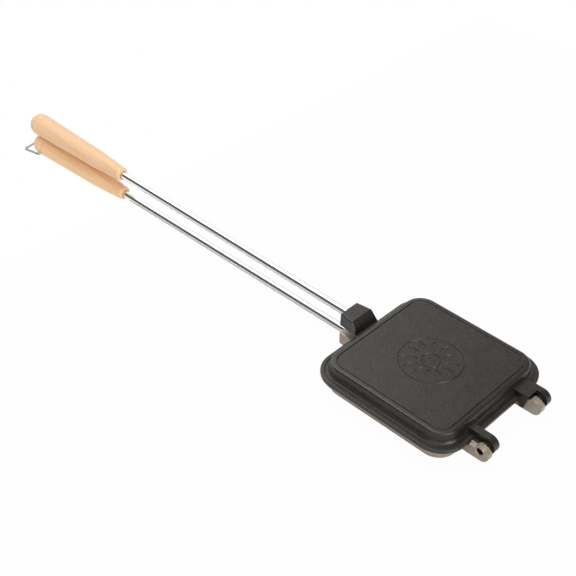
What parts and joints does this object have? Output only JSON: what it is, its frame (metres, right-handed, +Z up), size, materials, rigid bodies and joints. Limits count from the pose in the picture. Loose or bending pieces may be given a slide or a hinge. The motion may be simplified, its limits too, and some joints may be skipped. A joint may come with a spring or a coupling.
{
  "type": "stovetop sandwich press",
  "caption": "Stovetop press for toasted sandwiches: hinged square cast pans on long steel rods with turned wooden grips and a wire hanging bail.",
  "frame": {"origin": "centre of the lower pan's flat underside", "axes": "+X from the grips towards the hinges, +Z up out of the closed pans, +Y across, to the left when looking along +X"},
  "size_m": [0.6396, 0.1418, 0.0467],
  "materials": {
    "black_coating": "cast aluminium with a dark grey to black non-stick coating, fine grain",
    "bare_casting": "bare cast aluminium, warm grey, satin",
    "plated_rod": "bright plated steel rod",
    "pale_wood": "turned pale hardwood, clear satin finish",
    "pin_steel": "ground steel pin ends",
    "wire": "plated steel wire"
  },
  "bodies": {
    "lower_half": {"lower_pan": "bare_casting", "lower_rod": "plated_rod", "lower_grip": "pale_wood", "near_hinge_pin": "pin_steel", "far_hinge_pin": "pin_steel"},
    "upper_half": {"upper_pan": "black_coating", "upper_rod": "plated_rod", "upper_grip": "pale_wood"},
    "bail": {"hanging_bail": "wire"}
  },
  "joints": [
    {"name": "pan_hinge", "type": "hinge", "parent": "lower_half", "child": "upper_half", "pos_m": [0.0817, 0, 0.01364], "axis": [0, 1, 0], "range_deg": [0, 105]},
    {"name": "bail_swing", "type": "hinge", "parent": "lower_half", "child": "bail", "pos_m": [-0.52141, 0.00042, -0.00101], "axis": [0.0006, -0.9893, -0.1461], "range_deg": [-8, 140]}
  ]
}
